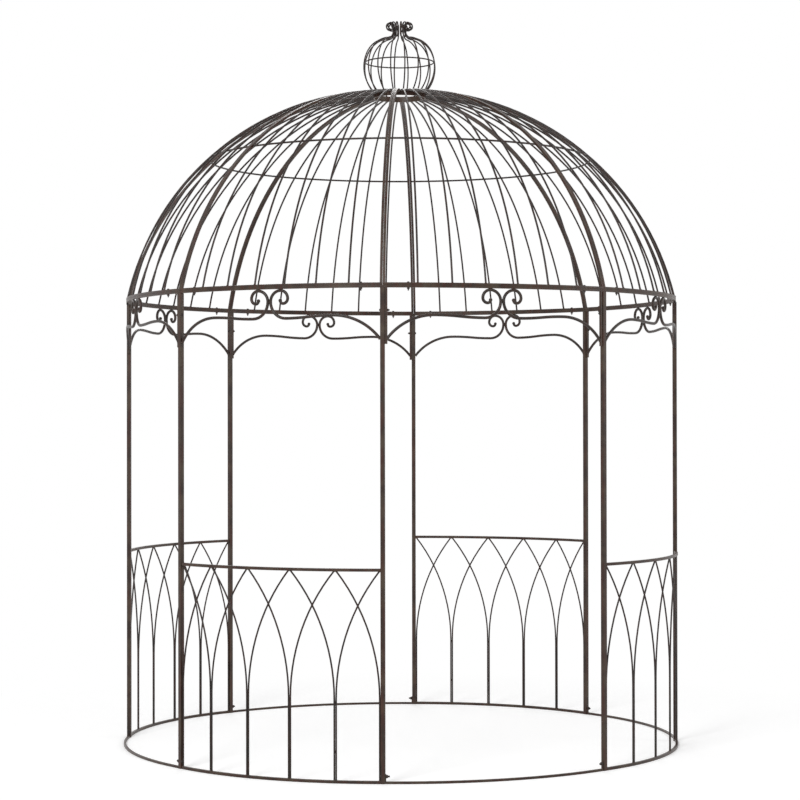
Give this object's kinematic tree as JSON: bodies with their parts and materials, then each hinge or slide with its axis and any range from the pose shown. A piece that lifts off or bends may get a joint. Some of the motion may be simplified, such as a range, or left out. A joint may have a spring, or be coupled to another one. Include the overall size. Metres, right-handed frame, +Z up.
{
  "type": "garden pavilion",
  "caption": "round garden pavilion of dark bronze-brown steel bars with a ribbed wire dome, lancet railings, scrolled eaves and an onion-shaped finial",
  "frame": {"origin": "on the ground at the middle of the pavilion's round plan", "axes": "+Z is up; an open bay faces -Y, and the railed bays lie on the diagonals"},
  "size_m": [2.41, 2.41, 3.1472],
  "materials": {
    "posts": "satin",
    "rails": "satin",
    "railings": "satin",
    "scrollwork": "satin",
    "dome": "satin",
    "finial": "satin"
  },
  "bodies": {
    "root": {"post_1": "posts", "post_2": "posts", "post_3": "posts", "post_4": "posts", "post_5": "posts", "post_6": "posts", "post_7": "posts", "post_8": "posts", "base_rail_front_right": "rails", "railing_front_right": "railings", "frieze_front_right": "scrollwork", "base_rail_back_right": "rails", "railing_back_right": "railings", "frieze_back_right": "scrollwork", "base_rail_back_left": "rails", "railing_back_left": "railings", "frieze_back_left": "scrollwork", "base_rail_front_left": "rails", "railing_front_left": "railings", "frieze_front_left": "scrollwork", "sill_front": "rails", "header_front": "scrollwork", "sill_right": "rails", "header_right": "scrollwork", "sill_back": "rails", "header_back": "scrollwork", "sill_left": "rails", "header_left": "scrollwork", "dome_panel_front": "dome", "dome_panel_front_right": "dome", "dome_panel_right": "dome", "dome_panel_back_right": "dome", "dome_panel_back": "dome", "dome_panel_back_left": "dome", "dome_panel_left": "dome", "dome_panel_front_left": "dome", "crown_hoop": "finial", "finial_cage": "finial", "finial_ring": "finial"}
  },
  "joints": []
}
